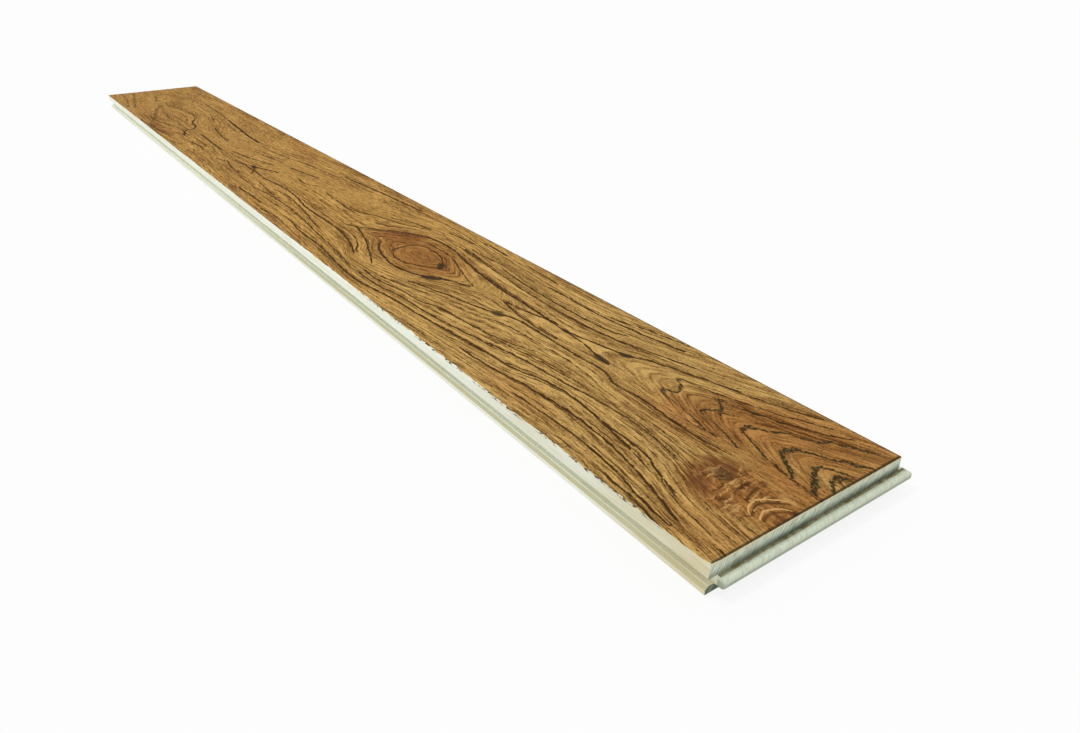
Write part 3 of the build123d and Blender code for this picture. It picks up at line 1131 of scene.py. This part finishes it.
# Size and steps of a sharp corner, and steps of eased ones: one is a chamfer, and more make a round
SHARP = (0, 0)
CHAMFER = 1
GROOVE_STEPS = 3
NOSE_STEPS = 6
RELIEF_STEPS = 4


def eased_outline(corners):
    """Closed outline of right-angled corners, each with its place (u, height), its size and its steps."""
    outline = []
    for index, (u, height, size, steps) in enumerate(corners):
        here = Vector((u, height))
        if not size:
            outline.append(here)
            continue
        before = Vector(corners[index - 1][:2])
        after = Vector(corners[(index + 1) % len(corners)][:2])
        back = (before - here).normalized() * size
        on = (after - here).normalized() * size
        centre = here + back + on
        for step in range(steps + 1):
            angle = math.pi / 2 * step / steps
            outline.append(centre - on * math.cos(angle) - back * math.sin(angle))
    return outline


def joint_corners(low, high, shape):
    """Corners of the section from a groove edge at low to a tongue's nose at high."""
    tongue_top = BOARD_HIGH.z - shape.wear_layer
    tongue_foot = tongue_top - shape.tongue
    groove_top = tongue_top + shape.play / 2
    groove_floor = tongue_foot - shape.play / 2
    wall = low + shape.reach + shape.spare
    lip = low + shape.lip_back
    shoulder = high - shape.reach
    lower_shoulder = shoulder - shape.shoulder_back
    return [
        (lip, BOARD_LOW.z, shape.foot, CHAMFER),
        (lip, groove_floor, shape.lower_mouth, CHAMFER),
        (wall, groove_floor, shape.groove_round, GROOVE_STEPS),
        (wall, groove_top, shape.groove_round, GROOVE_STEPS),
        (low, groove_top, shape.upper_mouth, CHAMFER),
        (low, BOARD_HIGH.z, shape.bevel, CHAMFER),
        (shoulder, BOARD_HIGH.z, shape.bevel, CHAMFER),
        (shoulder, tongue_top, *SHARP),
        (high, tongue_top, shape.nose, NOSE_STEPS),
        (high, tongue_foot, shape.nose, NOSE_STEPS),
        (lower_shoulder, tongue_foot, *SHARP),
        (lower_shoulder, BOARD_LOW.z, shape.foot, CHAMFER),
    ]


def relief_corners(shape):
    """Corners of the channels under the board, from the tongue side to the groove side."""
    middle = (BOARD_LOW.y + BOARD_HIGH.y - shape.reach) / 2
    corners = []
    for index in reversed(range(shape.reliefs)):
        centre = middle + (index - (shape.reliefs - 1) / 2) * shape.relief_pitch
        right = centre + shape.relief_width / 2
        left = centre - shape.relief_width / 2
        ceiling = BOARD_LOW.z + shape.relief_depth
        corners.append((right, BOARD_LOW.z, *SHARP))
        corners.append((right, ceiling, shape.relief_round, RELIEF_STEPS))
        corners.append((left, ceiling, shape.relief_round, RELIEF_STEPS))
        corners.append((left, BOARD_LOW.z, *SHARP))
    return corners


def prism(name, outline, spots, place):
    """Closed mesh object: the outline at two spots, where place(u, height, spot) gives a point."""
    mesh = bmesh.new()
    rings = [[mesh.verts.new(place(point.x, point.y, spot)) for point in outline] for spot in spots]
    count = len(outline)
    for index in range(count):
        after = (index + 1) % count
        mesh.faces.new((rings[0][index], rings[0][after], rings[1][after], rings[1][index]))
    mesh.faces.new(list(reversed(rings[0])))
    mesh.faces.new(rings[1])
    bmesh.ops.recalc_face_normals(mesh, faces=mesh.faces)
    data = bpy.data.meshes.new(name)
    mesh.to_mesh(data)
    mesh.free()
    piece = bpy.data.objects.new(name, data)
    bpy.context.scene.collection.objects.link(piece)
    return piece


def apply_modifiers(piece):
    """Keeps what the piece's modifiers make as its own mesh."""
    depsgraph = bpy.context.evaluated_depsgraph_get()
    data = bpy.data.meshes.new_from_object(piece.evaluated_get(depsgraph))
    piece.modifiers.clear()
    piece.data = data


def even_points(edge, start, count):
    """Vertices along an edge from its start: its two ends, and new ones that divide it evenly."""
    points = [start]
    for steps in range(count, 1, -1):
        vertex = bmesh.utils.edge_split(edge, points[-1], 1 / steps)[1]
        edge = next(piece for piece in vertex.link_edges if points[-1] not in piece.verts)
        points.append(vertex)
    points.append(edge.other_vert(points[-1]))
    return points


# Angle under which neighbouring faces count as one, and the gap within which a vertex lies on a plane
FLAT_ANGLE = math.radians(1)
ON_PLANE = 1e-6


def on_face(vertex):
    return abs(vertex.co.z - BOARD_HIGH.z) < ON_PLANE


def on_lip(vertex):
    return abs(vertex.co.y - BOARD_LOW.y) < ON_PLANE


def span(edge, axis):
    """Length of an edge along an axis."""
    first, second = edge.verts
    return abs(first.co[axis] - second.co[axis])


def divide_face(data, shape):
    """Divides the finished face, its groove-side bevel and the upper lip into a fine grid."""
    half_length = (BOARD_HIGH.x - BOARD_LOW.x) / 2
    mesh = bmesh.new()
    mesh.from_mesh(data)
    bmesh.ops.dissolve_limit(mesh, angle_limit=FLAT_ANGLE, verts=mesh.verts, edges=mesh.edges)
    long_edges = [
        edge
        for edge in mesh.edges
        if edge.calc_length() > half_length
        and all(on_face(vertex) or on_lip(vertex) for vertex in edge.verts)
    ]
    long_edges.sort(key=lambda edge: edge.verts[0].co.y + edge.verts[0].co.z)
    rows = []
    for edge in long_edges:
        near_vertex = max(edge.verts, key=lambda vertex: vertex.co.x)
        rows.append(even_points(edge, near_vertex, shape.stations))
    for row, following in zip(rows, rows[1:]):
        for first, second in zip(row[1:-1], following[1:-1]):
            face = next(face for face in first.link_faces if face in second.link_faces)
            bmesh.utils.face_split(face, first, second)
    for on_plane, axis, lines in ((on_face, 1, shape.face_lines), (on_lip, 2, shape.lip_lines)):
        edges = [
            edge
            for edge in mesh.edges
            if all(on_plane(vertex) for vertex in edge.verts) and span(edge, axis) > shape.reach
        ]
        bmesh.ops.subdivide_edges(mesh, edges=edges, cuts=lines - 1)
    mesh.to_mesh(data)
    mesh.free()


# The grain fades out over this border of the face, and only vertices this near to the face sink
GRAIN_BORDER = (0.6, 2.5)
FACE_GAP = 0.01 * MM


def sink_grain(board, shape):
    """Sinks the larger grain lines into the face, by the same figure that colours it."""
    tree = bpy.data.node_groups.new("grain_relief", "GeometryNodeTree")
    tree.interface.new_socket("Geometry", in_out="INPUT", socket_type="NodeSocketGeometry")
    tree.interface.new_socket("Geometry", in_out="OUTPUT", socket_type="NodeSocketGeometry")
    nodes = Nodes(tree)
    geometry = nodes.add("NodeGroupInput")
    x, y, z = nodes.split(nodes.add("GeometryNodeInputPosition"))
    along, across, length, width = face_axes(x, y, shape)
    figure = face_figure(nodes, along, across)
    rim = along.least(length - along).least(across).least(width - across)
    sunk = figure["lines"].most(figure["arches"]).most(figure["marks"]) * rim.ramp(*GRAIN_BORDER)
    offset = nodes.join(0.0, 0.0, sunk * -shape.grain_depth)
    face = z.above(BOARD_HIGH.z - FACE_GAP)
    inputs = {"Geometry": geometry, "Selection": face, "Offset": offset}
    nodes.add("NodeGroupOutput", None, {0: nodes.add("GeometryNodeSetPosition", None, inputs)})
    relief = board.modifiers.new("grain_relief", "NODES")
    relief.node_group = tree
    apply_modifiers(board)


# Wear of the groove arris, in millimetres along the board: where it ends, over what length it fades out
# towards each end, and the lengths of its waves, of its chips and of the chipped near corner
WEAR_END = 520
WEAR_FAR_FADE = 200
WEAR_NEAR_FADE = 70
WAVE_LENGTH = 24
CHIP_LENGTH = 6.5
CORNER_LENGTH = 6
# Slices of the noise of the waves and chips
WAVE_SLICE = (1.7, 0.3)
CHIP_SLICE = (4.1, 0.9)
# What the fade leaves of the wear, and shares of the deepest chip worn evenly, by waves and by chips
LEAST_WEAR = 0.15
EVEN_SHARE = 0.2
WAVE_SHARE = 0.35
CHIP_SHARE = 0.7
# Wear reaches at most this many times the deepest chip in from the arris
WEAR_REACH = 3


def wear_groove_arris(data, shape):
    """Chips and wears the arris over the groove, as a bevel whose width changes along the board."""
    near_end = BOARD_HIGH.x - shape.reach
    for vertex in data.vertices:
        inset = vertex.co.y - BOARD_LOW.y
        drop = BOARD_HIGH.z - vertex.co.z
        if max(inset, drop) > WEAR_REACH * shape.wear:
            continue
        along = (near_end - vertex.co.x) / MM
        fade = max(0.0, min(1.0, (WEAR_END - along) / WEAR_FAR_FADE, along / WEAR_NEAR_FADE))
        fade = fade * (1 - LEAST_WEAR) + LEAST_WEAR
        long_wave = noise.noise(Vector((along / WAVE_LENGTH, *WAVE_SLICE)))
        chips = noise.noise(Vector((along / CHIP_LENGTH, *CHIP_SLICE)))
        worn = max(0.0, EVEN_SHARE + WAVE_SHARE * long_wave + CHIP_SHARE * chips)
        corner = max(0.0, 1 - along / CORNER_LENGTH)
        cut = shape.bevel + shape.wear * fade * worn + shape.wear * corner
        short = cut - inset - drop
        if short > 0:
            vertex.co.y += short / 2
            vertex.co.z -= short / 2


# How far each section runs past the board before the two are intersected, and the angle of a sharp edge
OVERRUN = 10 * MM
SHARP_ANGLE = math.radians(28)


def floorboard_mesh(shape):
    """The board: its section across, intersected with its section along, with grain and a worn arris."""
    across = eased_outline(joint_corners(BOARD_LOW.y, BOARD_HIGH.y, shape) + relief_corners(shape))
    along = eased_outline(joint_corners(BOARD_LOW.x, BOARD_HIGH.x, shape))
    ends = (BOARD_LOW.x - OVERRUN, BOARD_HIGH.x + OVERRUN)
    sides = (BOARD_LOW.y - OVERRUN, BOARD_HIGH.y + OVERRUN)
    board = prism("floorboard_grain", across, ends, lambda u, height, spot: (spot, u, height))
    cutter = prism("end_matching", along, sides, lambda u, height, spot: (u, spot, height))
    cut = board.modifiers.new("end_matching", "BOOLEAN")
    cut.operation = "INTERSECT"
    cut.solver = "EXACT"
    cut.object = cutter
    apply_modifiers(board)
    bpy.data.objects.remove(cutter)
    divide_face(board.data, shape)
    sink_grain(board, shape)
    wear_groove_arris(board.data, shape)
    board.data.polygons.foreach_set("use_smooth", [True] * len(board.data.polygons))
    board.data.set_sharp_from_angle(angle=SHARP_ANGLE)
    return board


class FLOORBOARD_OT_board(bpy.types.Operator):
    """Build the board with its edges, its worn arris and its wood"""

    bl_idname = "floorboard.board"
    bl_label = "Build floorboard"

    def execute(self, context):
        shape = context.scene.floorboard_shape
        board = floorboard_mesh(shape)
        board.data.materials.clear()
        board.data.materials.append(wood_material(shape, context.scene.floorboard_finish))
        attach(board, "root")
        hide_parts("floorboard")
        return {"FINISHED"}


def seen_rays(nodes, *kinds):
    """1 for the camera's own rays and for rays of the given kinds, which show the background white."""
    path = nodes.add("ShaderNodeLightPath")
    seen = path
    for kind in kinds:
        seen = seen.most(Value(nodes, path.socket.node.outputs[kind]))
    return seen


def white_background(nodes, sky):
    """World light: even for the object, white for the camera and in reflections."""
    seen = seen_rays(nodes, "Is Glossy Ray", "Is Transmission Ray")
    light = nodes.add("ShaderNodeBackground", None, {"Color": WHITE, "Strength": sky})
    white = nodes.add("ShaderNodeBackground", None, {"Color": WHITE, "Strength": 1.0})
    mix = nodes.add("ShaderNodeMixShader", None, {0: seen, 1: light, 2: white})
    nodes.add("ShaderNodeOutputWorld", None, {"Surface": mix})


# Colour of the floor, and the share of white that lightens its shadow
FLOOR_COLOUR = (0.9, 0.9, 0.9, 1)
FLOOR_WHITE = 0.85


def floor_material():
    """White floor that keeps a faint shadow."""
    material = bpy.data.materials.new("studio_floor")
    material.use_nodes = True
    material.node_tree.nodes.clear()
    nodes = Nodes(material.node_tree)
    seen = seen_rays(nodes, "Is Glossy Ray")
    matt = nodes.add("ShaderNodeBsdfDiffuse", None, {"Color": FLOOR_COLOUR})
    white = nodes.add("ShaderNodeEmission", None, {"Color": WHITE, "Strength": 1.0})
    mix = nodes.add("ShaderNodeMixShader", None, {0: seen * FLOOR_WHITE, 1: matt, 2: white})
    nodes.add("ShaderNodeOutputMaterial", None, {"Surface": mix})
    return material


# Camera's sensor in millimetres, which the lens belongs to, and how near it sees, in metres
SENSOR_WIDTH = 36.0
NEAREST_SEEN = 0.01


def add_floor(scene, half):
    """Square floor under the board."""
    corners = [(-half, -half, 0), (half, -half, 0), (half, half, 0), (-half, half, 0)]
    data = bpy.data.meshes.new("studio_floor")
    data.from_pydata(corners, [], [(0, 1, 2, 3)])
    data.materials.append(floor_material())
    floor = bpy.data.objects.new("studio_floor", data)
    scene.collection.objects.link(floor)


def add_world(scene, sky):
    """Even white sky."""
    world = bpy.data.worlds.new("studio")
    world.use_nodes = True
    world.node_tree.nodes.clear()
    white_background(Nodes(world.node_tree), sky)
    scene.world = world


def add_key(scene, stage):
    """Soft key lamp."""
    lamp = bpy.data.lights.new("key", "SUN")
    lamp.energy = stage.key
    lamp.angle = stage.key_spread
    key = bpy.data.objects.new("key", lamp)
    key.rotation_mode = "QUATERNION"
    key.rotation_quaternion = Vector(stage.key_way).to_track_quat("-Z", "Y")
    scene.collection.objects.link(key)


def add_camera(scene, stage):
    """Camera at the photograph's place and angle."""
    data = bpy.data.cameras.new("camera")
    data.sensor_width = SENSOR_WIDTH
    data.lens = stage.lens
    data.clip_start = NEAREST_SEEN
    camera = bpy.data.objects.new("camera", data)
    level = math.cos(stage.pitch)
    drop = math.sin(stage.pitch)
    ahead = Vector((level * math.cos(stage.heading), level * math.sin(stage.heading), -drop))
    camera.rotation_mode = "QUATERNION"
    camera.rotation_quaternion = ahead.to_track_quat("-Z", "Y") @ Quaternion((0, 0, 1), -stage.roll)
    camera.location = stage.place
    scene.collection.objects.link(camera)
    scene.camera = camera


class FLOORBOARD_OT_stage(bpy.types.Operator):
    """Set up the floor, the light and the camera"""

    bl_idname = "floorboard.stage"
    bl_label = "Set up stage"

    def execute(self, context):
        scene = context.scene
        stage = scene.floorboard_stage
        scene.view_settings.view_transform = "Standard"
        add_world(scene, stage.sky)
        add_floor(scene, stage.floor)
        add_key(scene, stage)
        add_camera(scene, stage)
        return {"FINISHED"}


class FLOORBOARD_PT_panel(bpy.types.Panel):
    bl_idname = "FLOORBOARD_PT_panel"
    bl_label = "Floorboard"
    bl_space_type = "VIEW_3D"
    bl_region_type = "UI"
    bl_category = "Floorboard"

    def draw(self, context):
        column = self.layout.column()
        scene = context.scene
        for group in (scene.floorboard_shape, scene.floorboard_finish, scene.floorboard_stage):
            for name in group.__annotations__:
                column.prop(group, name)
        column.operator(FLOORBOARD_OT_board.bl_idname)
        column.operator(FLOORBOARD_OT_stage.bl_idname)


CLASSES = (
    FloorboardShape,
    FloorboardFinish,
    FloorboardStage,
    FLOORBOARD_OT_board,
    FLOORBOARD_OT_stage,
    FLOORBOARD_PT_panel,
)


def register():
    for item in CLASSES:
        bpy.utils.register_class(item)
    bpy.types.Scene.floorboard_shape = PointerProperty(type=FloorboardShape)
    bpy.types.Scene.floorboard_finish = PointerProperty(type=FloorboardFinish)
    bpy.types.Scene.floorboard_stage = PointerProperty(type=FloorboardStage)


def unregister():
    del bpy.types.Scene.floorboard_stage
    del bpy.types.Scene.floorboard_finish
    del bpy.types.Scene.floorboard_shape
    for item in reversed(CLASSES):
        bpy.utils.unregister_class(item)


def main():
    register()
    bpy.ops.floorboard.board()
    bpy.ops.floorboard.stage()


if __name__ == "__main__":
    main()
